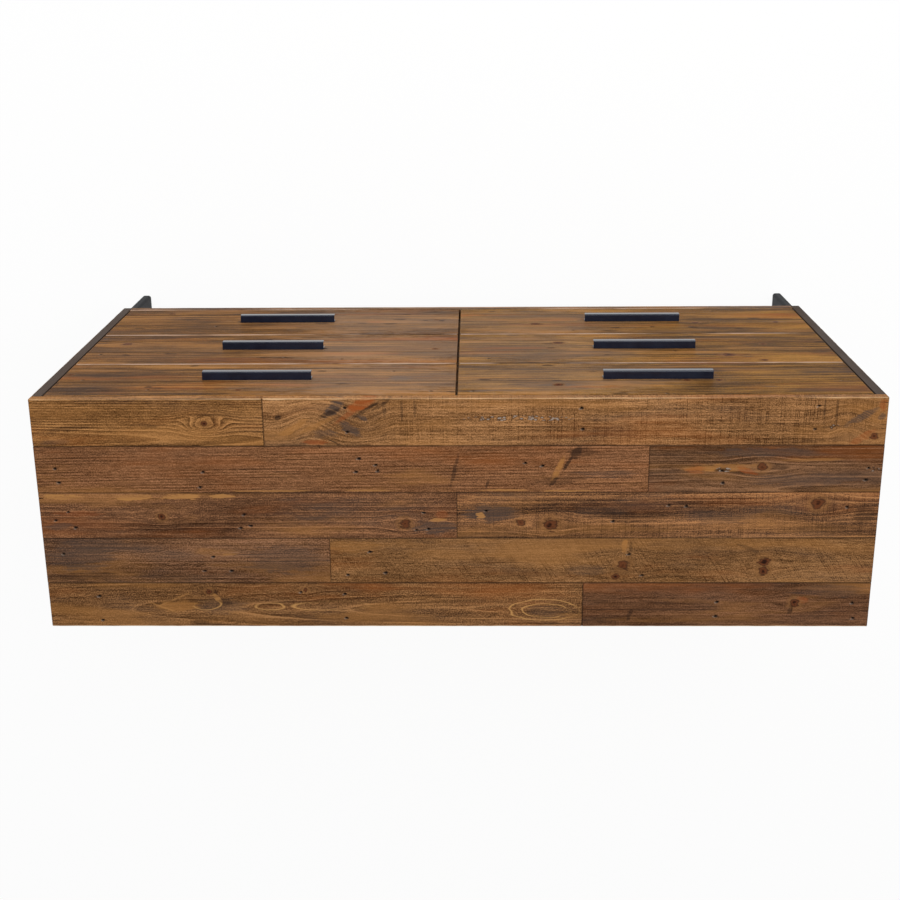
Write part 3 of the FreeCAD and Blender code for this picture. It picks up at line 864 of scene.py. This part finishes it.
top_looks = {
    (1, "right"): dict(
        middle=(121, 83, 47), ring=4.4, heart=(30, 34), rise=-0.02, bend=8, figure=0.72, line=0.5, grey=0.2,
        streak=0.16, grain=0.12, fleck=0.05,
        knots=((450, -168, 4.6, 5),),
        stains=(("dark", 690, -160, 52, 6, 6, 0.5), ("grey", 720, -134, 30, 6, 0, 0.4),
                ("dark", 560, -165, 30, 5, 0, 0.35), ("gold", 520, -150, 120, 16, 0, 0.3)),
    ),
    (1, "left"): dict(
        middle=(126, 88, 54), ring=6, heart=(90, 40), bend=14, figure=0.26, grey=0.35, blotch=0.34,
        saw=0.55, saw_pitch=3.2, saw_until=130, swirls=((215, -172, 90, 52, 30), (-720, -170, 60, 50, 28)),
        knots=((-741, -143, 6, 3),),
        nails=((-222, -196), (-225, -157), (-640, -199), (-636, -156), (198, -197), (195, -152)),
        stains=(("grey", 218, -196, 26, 12, 44, 0.9), ("dark", 226, -187, 22, 5, 22, 0.75),
                ("dark", 160, -194, 34, 4, 32, 0.75), ("dark", 136, -200, 26, 4, 36, 0.6),
                ("orange", 170, -203, 32, 10, 24, 0.85), ("orange", 196, -182, 30, 5, 34, 0.45),
                ("grey", 190, -158, 24, 9, -36, 0.9), ("grey", 234, -150, 24, 9, 0, 0.6),
                ("orange", 248, -133, 24, 6, 0, 0.55), ("dark", 218, -133, 18, 1.6, -24, 0.8),
                ("grey", 166, -178, 12, 4, -30, 0.7), ("gold", 292, -160, 34, 7, 30, 0.6),
                ("gold", 250, -165, 44, 5, 26, 0.5), ("dark", 318, -180, 7, 6, 30, 0.8),
                ("dark", 128, -196, 4, 20, 1, 0.5), ("dark", 97, -192, 3, 24, 1, 0.5),
                ("dark", 74, -196, 3, 18, 1, 0.5), ("grey", -716, -178, 34, 8, 30, 0.75),
                ("dark", -664, -160, 30, 3, 8, 0.5), ("orange", -722, -140, 26, 8, 26, 0.45),
                ("orange", -752, -200, 7, 13, 1, 0.55), ("grey", -752, -178, 8, 6, 20, 0.7),
                ("dark", -650, -190, 2, 26, 1, 0.5), ("dark", -672, -190, 2, 26, 1, 0.5)),
        chips=((-15, -210, -177), (-658, -678, -160)),
    ),
    (2, "right"): dict(
        middle=(119, 80, 52), ring=5.2, heart=(150, 55), slant=0.018, bend=4, ripple=1, figure=-0.42,
        line=0.5, shade=0.24, grey=0.15, speckle=0.50, streak=0.07, blotch=0.15, fleck=0.04,
        nails=((726, -84), (721, -57), (458, -77), (465, -48), (175, -102), (145, -90), (142, -79),
               (181, -77), (-124, -93), (-155, -88)),
        stains=(("dark", 4, -80, 36, 4, 76, 0.65), ("dark", -55, -54, 10, 3, 70, 0.7),
                ("gold", -182, -80, 30, 6, 66, 0.75), ("dark", -214, -112, 15, 9, 50, 0.8),
                ("dark", -200, -94, 20, 3.5, 60, 0.8), ("dark", -174, -56, 14, 4, 50, 0.7),
                ("dark", -190, -62, 60, 10, 8, 0.4), ("dark", -226, -114, 26, 9, 0, 0.55),
                ("grey", -276, -72, 60, 9, 0, 0.5), ("tan", 160, -41, 46, 1.8, 0, 0.7),
                ("tan", -82, -41, 50, 1.8, 0, 0.7), ("tan", -196, -40, 54, 2.2, 0, 0.7),
                ("tan", 330, -40, 70, 1.8, 0, 0.6)),
    ),
    (2, "left"): dict(
        middle=(95, 66, 44), ring=6.5, heart=(40, 40), rise=0.01, bend=16, figure=0.80, grey=0.4,
        streak=0.40, streak_waves=(1.6, 34), speckle=0.45, knots=((-547, -85, 7, 4),),
        chips=((-464, -492, -80), (-735, -757, -80)),
        nails=((-476, -78), (-479, -55), (-737, -83), (-734, -60)),
        stains=(("gold", -470, -83, 72, 8, 2, 0.75), ("orange", -520, -78, 24, 6, -20, 0.5),
                ("dark", -576, -84, 18, 8, 0, 0.7), ("dark", -476, -79, 14, 4, 0, 0.7),
                ("orange", -428, -80, 20, 10, 0, 0.4), ("grey", -560, -112, 120, 9, 0, 0.6),
                ("grey", -620, -60, 110, 13, 0, 0.5), ("gold", -640, -98, 60, 3, 0, 0.5)),
    ),
    (3, "right"): dict(
        middle=(100, 68, 47), light_share=(1.7, 1.75, 1.72), ring=8.5, heart=(60, 34), rise=0.004, bend=14,
        figure=0.75, line=0.14, shade=0.2, grey=0.7, streak=0.24, streak_waves=(1.4, 30), blotch=0.34,
        grain=0.14, fleck=0.04,
        knots=((539, 10, 5.5, 3), (95, 24, 8, 2.5)),
        nails=((710, 0), (734, 17), (699, 31), (388, 6), (377, 28), (395, 32), (60, 2), (52, 34), (74, 36)),
        stains=(("tan", 716, -29, 38, 5.5, 0, 0.9), ("tan", 592, -28, 36, 6.5, 0, 0.9),
                ("tan", 500, -29, 40, 5.5, 0, 0.9), ("tan", 424, -30, 24, 4, 0, 0.8),
                ("grey", 730, 28, 26, 8, 0, 0.6), ("grey", 44, 32, 46, 14, 0, 0.8),
                ("tan", 32, 16, 17, 5, 0, 0.7), ("orange", 28, 6, 14, 8, 0, 0.3),
                ("orange", 690, 4, 50, 6, 0, 0.3)),
    ),
    (3, "left"): dict(
        middle=(108, 74, 49), dark_share=(0.44, 0.42, 0.42), light_share=(1.62, 1.66, 1.62), ring=7,
        heart=(-70, 36), rise=-0.01, bend=14, figure=0.45, streak=0.62, streak_waves=(1.3, 32), fleck=0.06,
        grey=0.55, saw=0.36, saw_pitch=3.6,
        knots=((-116, 22, 6.5, 2.2), (-171, 27, 11, 2.2), (-652, -14, 10, 2.8)),
        nails=((-53, -1), (-284, 19), (-384, -12), (-416, -10), (-705, -8)),
        stains=(("grey", -62, 4, 50, 18, 0, 0.75), ("tan", -44, 8, 8, 6, 0, 0.8),
                ("dark", -320, 12, 64, 13, 0, 0.55), ("grey", -470, 12, 80, 13, 0, 0.45),
                ("dark", -736, 6, 24, 20, -20, 0.5), ("dark", -262, 6, 30, 9, 0, 0.4)),
    ),
    (4, "right"): dict(
        middle=(104, 72, 49), ring=6.5, heart=(-80, 45), rise=0.01, bend=10, figure=0.45, grey=0.6,
        speckle=0.8,
        nails=((726, 83), (449, 89), (467, 117), (417, 117)),
        stains=(("grey", 700, 90, 70, 30, 0, 0.6), ("dark", 690, 128, 80, 8, 0, 0.6),
                ("gold", 445, 80, 44, 9, 0, 0.4), ("grey", 320, 95, 80, 30, 0, 0.55),
                ("dark", 520, 130, 100, 6, 0, 0.5), ("tan", 420, 84, 14, 4, 0, 0.4)),
    ),
    (4, "left"): dict(
        middle=(117, 82, 50), ring=7, heart=(-100, 50), rise=0.02, bend=12, figure=0.16, grey=0.28,
        streak=0.16, grain=0.12, fleck=0.05, saw=0.40, saw_turn=32, saw_pitch=3.4,
        knots=((-305, 106, 9, 3), (-292, 130, 6, 2.5), (-563, 99, 8.5, 3), (-562, 118, 7.5, 2.5)),
        nails=((160, 79), (202, 125), (132, 121), (-340, 126), (-315, 84)),
        cracks=((-60, 101, 150, 0),),
        stains=(("dark", -300, 116, 18, 12, 0, 0.45), ("dark", -562, 109, 13, 18, 0, 0.5),
                ("dark", -535, 74, 24, 4, -24, 0.5), ("gold", -306, 68, 6, 13, 1, 0.7),
                ("dark", -318, 72, 4, 10, 1, 0.5), ("gold", 190, 70, 60, 12, 0, 0.4),
                ("grey", -240, 116, 40, 12, 0, 0.35)),
    ),
    (5, "right"): dict(
        middle=(109, 75, 46), light_share=(1.55, 1.62, 1.68), ring=11, heart=(8, 14), rise=0.05, bend=14,
        figure=0.6, line=0.18, shade=0.18, grey=0.3, speckle=0.75,
        knots=((462, 158, 4.5, 4), (283, 157, 4, 4)),
        loops=((350, 190, 27, 7), (235, 188, 70, 9), (467, 187, 24, 9), (-160, 197, 64, 22),
               (-164, 198, 42, 15)),
        nails=((667, 168), (665, 217), (209, 164), (207, 213), (290, 160)),
        stains=(("grey", 440, 190, 50, 18, 0, 0.4), ("dark", 452, 162, 9, 6, 0, 0.6),
                ("tan", 447, 174, 13, 5, -58, 0.7), ("dark", 432, 182, 14, 9, 0, 0.6),
                ("gold", 520, 188, 44, 12, 0, 0.6), ("tan", 548, 192, 36, 2, -22, 0.5),
                ("tan", 530, 176, 40, 2, 24, 0.5), ("dark", 483, 222, 22, 5, 0, 0.6),
                ("grey", -166, 199, 40, 14, 0, 0.35), ("dark", 470, 227, 40, 4, 0, 0.6)),
    ),
    (5, "left"): dict(
        middle=(94, 63, 42), ring=8, heart=(60, 30), rise=0, bend=10, figure=0.20, streak=0.16, grey=0.25,
        knots=((-623, 182, 7, 2.5),),
        nails=((-481, 180), (-480, 209), (-730, 182), (-734, 213)),
        stains=(("dark", -360, 196, 120, 2.5, 0, 0.7), ("dark", -320, 206, 14, 4, 70, 0.7),
                ("dark", -617, 196, 14, 4, 70, 0.8), ("orange", -636, 176, 14, 8, 0, 0.4),
                ("grey", -690, 158, 70, 14, 0, 0.4)),
        cracks=((-620, 194, 18, 90),),
    ),
}

# The six drawer fronts. Places are x and z in mm.

front_looks = {
    ("top", "left"): dict(
        knots=((-186, 785, 6, 3), (-423, 757, 5, 3), (-482, 757, 4, 3)),
        nails=((-376, 842), (-30, 825), (-706, 760)),
        stains=(("dark", -36, 826, 30, 4, 0, 0.5), ("grey", -80, 820, 60, 7, 0, 0.6),
                ("orange", -250, 800, 70, 8, 0, 0.4))),
    ("top", "right"): dict(
        knots=((396, 814, 4, 3), (730, 710, 4, 3)), nails=((696, 745), (46, 824), (120, 690), (560, 812)),
        stains=(("grey", 105, 738, 26, 14, 0, 0.75), ("dark", 690, 838, 20, 5, 0, 0.5),
                ("dark", 42, 798, 14, 5, 0, 0.5))),
    ("middle", "left"): dict(
        knots=((-202, 480, 7, 3), (-530, 576, 9, 3), (-614, 494, 4.5, 3), (-593, 618, 5, 3)),
        nails=((-430, 547), (-60, 600)),
        stains=(("dark", -72, 600, 40, 6, 0, 0.5), ("orange", -530, 580, 26, 10, 0, 0.35),
                ("orange", -120, 520, 80, 8, 0, 0.4))),
    ("middle", "right"): dict(
        knots=((676, 479, 7, 3), (47, 525, 4, 3)), nails=((227, 600), (340, 585), (710, 560)),
        stains=(("dark", 560, 611, 40, 5, 0, 0.5), ("dark", 480, 612, 40, 5, 0, 0.5),
                ("orange", 200, 560, 90, 8, 0, 0.4), ("grey", 570, 545, 190, 70, 0, 0.32))),
    ("bottom", "left"): dict(
        knots=((-164, 316, 7, 3), (-508, 308, 5, 3), (-678, 306, 5, 3)), nails=((-560, 200), (-240, 372)),
        stains=(("gold", -600, 240, 90, 30, 0, 0.3),)),
    ("bottom", "right"): dict(
        knots=((49, 276, 4, 3), (640, 210, 5, 3)), nails=((140, 392), (520, 330), (700, 190)),
        stains=(("grey", 237, 292, 40, 9, 0, 0.6), ("orange", 180, 292, 24, 10, 0, 0.35),
                ("dark", 110, 350, 60, 6, 0, 0.5))),
}

# The drawer fronts' wood. Its edge colour is wear along the crests, and also a painted highlight there.
front_wood = dict(
    middle=(104, 71, 37), ring=15, heart=(-60, 12), heart_spread=(120, 50), rise=0.05, bend=16, line=0.30,
    figure=0.58, streak=0.50, streak_waves=(4, 50), grain=0.22, mottle=0.24, speckle=0.46, blotch=0.40,
    fleck=0.20, grey=0.62, warm=0.42, gold=0.5, edge_wear_and_highlight=(184, 160, 142), rough=0.45, ior=1.065,
)
front_middle = {"left": (103, 71, 33), "right": (102, 69, 36)}
side_wood = {**front_wood, "wild_knots": True, "bend": 40.0}

# The fronts' painted sheen, a pale patch near the inner end of each front that stands in for the gloss seen
# at
# a glancing angle: its strength, how far out it lies and its half sizes. Then the marks strewn over each
# front, and the dark rims of its knots in radii with their strength.

sheen_paint_strength = {"left": 0.14, "right": 0.20}
sheen_paint_out = 170.0
sheen_paint_size = (260, 120)
front_marks = 11
mark_length = (6, 18)
mark_width = (3.5, 7.0)
mark_strength = (0.6, 0.95)
rim_length, rim_width, rim_strength = 2.2, 1.6, 0.8


# Pieces


def drawers():
    """Each drawer's row, side and body, and the number that sets its random numbers apart."""
    for index, row in enumerate(rows):
        for side in sides:
            yield row, side, row + "_" + side + "_drawer", 10 * index + 5 * (side == "right")


def end_checks(end, sign, near, far, seed):
    """Short cracks in the end of a plank of the top."""
    draw = random.Random(seed)
    checks = []
    for number in range(check_count):
        length = draw.uniform(*check_length)
        along = end / mm - sign * length * draw.uniform(*check_inset)
        across = draw.uniform(near / mm + check_margin, far / mm - check_margin)
        checks.append((along, across, length, draw.uniform(*check_turn)))
    return tuple(checks)


def build_top():
    low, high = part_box("top_boards")
    width = (high[1] - low[1]) / top_rows
    for row, joint in enumerate(top_joints, 1):
        first, last = row == 1, row == top_rows
        near, far = low[1] + (row - 1) * width, low[1] + row * width
        kinds = "rim" if first else "seam", "rim" if last else "seam", "end"
        edges = [top_edges[kind] for kind in kinds]
        radius = face_radius["rim" if first or last else "seam"]
        for side, start, stop, end in (("left", low[0], joint, low[0]), ("right", joint, high[0], high[0])):
            look = {**plain_look, **top_looks[row, side]}
            seed = 2 * row + (side == "right")
            corners = (start, near, low[2]), (stop, far, high[2])
            mesh = new_boards()
            add_board(mesh, *corners, 0, (2, 1), radius, edges, seed)
            cracks = look["cracks"] + end_checks(end, sides[side], near, far, seed)
            mesh = marked(mesh, *corners, 0, (2, 1), look["nails"], cracks, seed)
            name = "top_plank_%d_%s" % (row, side)
            material = wood(name + "_wood", "top", look)
            piece(name, mesh, "case", "top_boards", [material])


def build_sides():
    material = wood("side_wood", "side", side_wood)
    for side, sign in sides.items():
        node = side + "_side_boards"
        low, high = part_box(node)
        width = (high[1] - low[1]) / side_boards
        draw = random.Random(side_tone_seed + sign)
        mesh = new_boards()
        for index in range(side_boards):
            first, last = index == 0, index == side_boards - 1
            near, far = low[1] + index * width, low[1] + (index + 1) * width
            corners = (low[0], near, low[2]), (high[0], far, high[2])
            kinds = "front" if first else "seam", "rear" if last else "seam", "end"
            edges = [side_edges[kind] for kind in kinds]
            flank = side_edges["flank"] if first else 0.0
            seed = side_seed + 10 * sign + index
            add_board(mesh, *corners, 2, (0, sign), face_radius["side"], edges, seed,
                      draw.uniform(*side_tones), flank=flank)
        piece(side + "_side_planks", mesh, "case", node, [material])


def strewn_marks(low, high, knots, seed):
    """Dark rims round a front's knots, and short dark gouges and grey scuffs strewn over it."""
    marks = [("dark", along, across, rim_length * radius, rim_width * radius, 0, rim_strength)
             for along, across, radius, halo in knots]
    draw = random.Random(seed)
    for number in range(front_marks):
        stain = draw.choice(("dark", "dark", "grey"))
        place = draw.uniform(low[0], high[0]) / mm, draw.uniform(low[2], high[2]) / mm
        sizes = draw.uniform(*mark_length), draw.uniform(*mark_width)
        marks.append((stain, *place, *sizes, 0, draw.uniform(*mark_strength)))
    return tuple(marks)


def build_fronts():
    for row, side, name, number in drawers():
        node = name + "_front"
        low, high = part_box(node)
        look = {**plain_look, **front_wood, "middle": front_middle[side], **front_looks[row, side]}
        seed = front_seed + number
        # A pale patch near the inner end of each front: painted sheen for the gloss seen at a glancing angle.
        sheen_paint_height = (low[2] + high[2]) / 2 / mm
        painted_sheen = ("pale", sheen_paint_out * sides[side], sheen_paint_height, *sheen_paint_size, 0, sheen_paint_strength[side])
        look["stains"] += (painted_sheen,) + strewn_marks(low, high, look["knots"], seed + mark_seed)
        draw = random.Random(seed)
        # Middle and bottom fronts get a painted highlight with the wear along their crests; the top row's
        # crest lies in shade and gets little.
        crest = "shaded_crest" if row == "top" else "crest"
        mesh = new_boards()
        top = high[2]
        while top > low[2] + mm:
            foot = max(low[2], top - front_board_width)
            kinds = "foot" if foot == low[2] else "seam", crest if top == high[2] else "seam", "end"
            edges = [front_edges[kind] for kind in kinds]
            corners = (low[0], low[1], foot), (high[0], high[1], top)
            board = new_boards()
            add_board(board, *corners, 0, (1, -1), face_radius["front"], edges, seed,
                      draw.uniform(*front_tones))
            append(mesh, marked(board, *corners, 0, (1, -1), look["nails"], look["cracks"], seed))
            top = foot
            seed += 1
        material = wood(name + "_wood", "front", look)
        piece(name + "_planks", mesh, name, node, [material])


def build_boxes(wood_across, wood_deep):
    for row, side, name, number in drawers():
        node = name + "_box"
        low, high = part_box(node)
        left, right = low[0] + box_wall, high[0] - box_wall
        front, back = low[1] + box_wall, high[1] - box_wall
        walls = (
            (low, (left, high[1], high[2]), 1, (0, -1)),
            ((right, low[1], low[2]), high, 1, (0, 1)),
            ((left, low[1], low[2]), (right, front, high[2]), 0, (1, -1)),
            ((left, back, low[2]), (right, high[1], high[2]), 0, (1, 1)),
        )
        mesh = new_boards()
        for index, (wall_low, wall_high, along, face) in enumerate(walls):
            radius = face_radius["box"]
            add_board(mesh, wall_low, wall_high, along, face, radius, seed=box_seed + number + index,
                      slot=along, round_back=radius, step=box_step)
        piece(name + "_walls", mesh, name, node, [wood_across, wood_deep])


def build_handles(black):
    """Each handle is one folded sheet: a flange on the front, a web that stands out and a lip."""
    for row, side, name, number in drawers():
        node = row + "_" + side + "_handle"
        (left, front, foot), (right, back, top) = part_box(node)
        inner_front, inner_back, inner_top = front + handle_sheet, back - handle_sheet, top - handle_sheet
        tip = top - handle_lip
        profile = ((back, foot), (back, top), (front, top), (front, tip), (inner_front, tip),
                   (inner_front, inner_top), (inner_back, inner_top), (inner_back, foot))
        mesh = bmesh.new()
        ends = [[mesh.verts.new((x, y, z)) for y, z in profile] for x in (left, right)]
        mesh.faces.new(ends[0])
        mesh.faces.new(reversed(ends[1]))
        bridged(mesh, ends)
        bmesh.ops.recalc_face_normals(mesh, faces=mesh.faces)
        fold = profile.index((front, top))
        bend = mesh.edges.get((ends[0][fold], ends[1][fold]))
        bmesh.ops.bevel(mesh, geom=[bend], offset=handle_bend, segments=6, profile=0.5, affect="EDGES")
        sharp = [edge for edge in mesh.edges if edge.calc_face_angle(0.0) > handle_corner]
        bmesh.ops.bevel(mesh, geom=sharp, offset=handle_edge, segments=2, profile=0.5, affect="EDGES")
        for made in mesh.faces:
            made.smooth = True
        pull = piece(name + "_pull", mesh, name, node, [black])
        pull.modifiers.new("normals", "WEIGHTED_NORMAL").keep_sharp = True


def build_case_bottom(material):
    low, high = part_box("case_bottom")
    mesh = new_boards()
    # Its front edge is lightened by wear and a painted highlight, most along its upper edge.
    add_board(mesh, low, high, 0, (1, -1), face_radius["bottom"], bottom_edges, bottom_seed)
    piece("case_bottom_panel", mesh, "case", "case_bottom", [material])


def finish_nodes(finishes):
    """Gives each CAD node that is still shown the finish whose word its name holds."""
    for name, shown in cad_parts.items():
        if shown.hide_render:
            continue
        finish = next(material for word, material in finishes.items() if word in name)
        for slot in shown.material_slots:
            slot.material = finish


# Stage


def show(tree, share, output, lit, seen):
    """Fills a tree with a shader that lights the scene, and a share of another for the rays that are seen:
    those to the camera, in a reflection or through something."""
    tree.nodes.clear()
    nodes = Nodes(tree)
    path = nodes.node("ShaderNodeLightPath")
    rays = path.outputs["Is Camera Ray"]
    for other in ("Is Glossy Ray", "Is Transmission Ray"):
        rays = nodes.math("ADD", rays, path.outputs[other], clamp=True)
    shaders = [nodes.put(nodes.node(kind), **values).outputs[0] for kind, values in (lit, seen)]
    mixed = nodes.node("ShaderNodeMixShader", nodes.times(rays, share), *shaders)
    nodes.node(output, mixed.outputs[0])


def add_lamp(name, place, aim, size, power):
    data = bpy.data.lights.new(name, "AREA")
    data.shape = "RECTANGLE"
    data.size, data.size_y = size
    data.energy = power
    lamp = bpy.data.objects.new(name, data)
    bpy.context.scene.collection.objects.link(lamp)
    lamp.location = place
    lamp.rotation_euler = (Vector(aim) - Vector(place)).to_track_quat("-Z", "Y").to_euler()
    lamp.visible_camera = False


def build_stage():
    """A pale floor that keeps a soft shadow, even light all round, and soft lamps in front and above."""
    scene = bpy.context.scene
    scene.view_settings.view_transform = "Standard"
    bpy.ops.mesh.primitive_plane_add(size=floor_size, location=(0.0, 0.0, -floor_drop))
    floor = bpy.context.object
    floor.name = "floor"
    paper = bpy.data.materials.new("floor_paper")
    floor.data.materials.append(paper)
    scene.world = bpy.data.worlds.new("studio")
    paper.use_nodes = True
    scene.world.use_nodes = True
    show(paper.node_tree, 1.0 - floor_shade, "ShaderNodeOutputMaterial",
         ("ShaderNodeBsdfDiffuse", dict(color=floor_grey)), ("ShaderNodeEmission", dict(color=white)))
    show(scene.world.node_tree, 1.0, "ShaderNodeOutputWorld",
         ("ShaderNodeBackground", dict(color=white, strength=world_level)),
         ("ShaderNodeBackground", dict(color=white, strength=backdrop_level)))
    add_lamp("front_strip", place=(0.0, -3.1, 1.65), aim=(0.0, -0.2, 0.7), size=(3.8, 0.5), power=60.0)
    add_lamp("overhead", place=(-0.8, -1.2, 3.6), aim=(0.0, 0.0, 0.7), size=(2.4, 1.8), power=45.0)


def build_camera():
    data = bpy.data.cameras.new("camera")
    data.lens = camera_lens
    camera = bpy.data.objects.new("camera", data)
    bpy.context.scene.collection.objects.link(camera)
    camera.location = camera_eye
    camera.rotation_mode = "QUATERNION"
    level = (camera_target - camera_eye).to_track_quat("-Z", "Y")
    camera.rotation_quaternion = level @ Quaternion((0.0, 0.0, 1.0), camera_roll)
    bpy.context.scene.camera = camera


build_camera()
build_stage()
box_wood = dict(middle=(204, 176, 134), dark_share=(0.84, 0.82, 0.78), light_share=(1.10, 1.12, 1.16),
                grey=0.0, figure=0.4, ring=4.5, bend=50.0, rough=0.5)
ply_wood = {**box_wood, "ring": 14.0, "heart": (0.0, 40.0), "bend": 90.0, "ripple": 6.0}
case_wood = dict(figure=0.3, ring=6.0, bend=30.0)
box_across = wood("box_wood_across", "front", box_wood)
box_deep = wood("box_wood_deep", "deep", box_wood)
ply_flat = wood("plywood_flat", "top", ply_wood)
ply_back = wood("plywood_back", "front", ply_wood)
edge_wood = wood("edge_wood", "front", {**front_wood, "middle": (114, 86, 64), "grey": 0.2})
case_deep = wood("case_wood_deep", "deep", {**case_wood, "middle": (112, 84, 62)})
case_across = wood("case_wood_across", "front", {**case_wood, "middle": (74, 54, 40)})
black = powder_coat("black_satin_coat", (20, 24, 38), (29, 35, 50), rough=0.10, ior=1.2, gloss=0.8)
leg_black = powder_coat("black_matt_coat", (20, 21, 23), (32, 33, 35), rough=0.5, ior=1.14, gloss=0.0)
steel = zinc("zinc_plate")

build_top()
build_sides()
build_fronts()
build_boxes(box_across, box_deep)
build_handles(black)
build_case_bottom(edge_wood)
finish_nodes({
    "slide": steel, "screws": steel, "dowels": box_deep, "glides": plastic("black_nylon"), "leg": leg_black,
    "divider": case_deep, "rails": case_across, "back_panel": ply_back, "drawer_bottom": ply_flat,
})
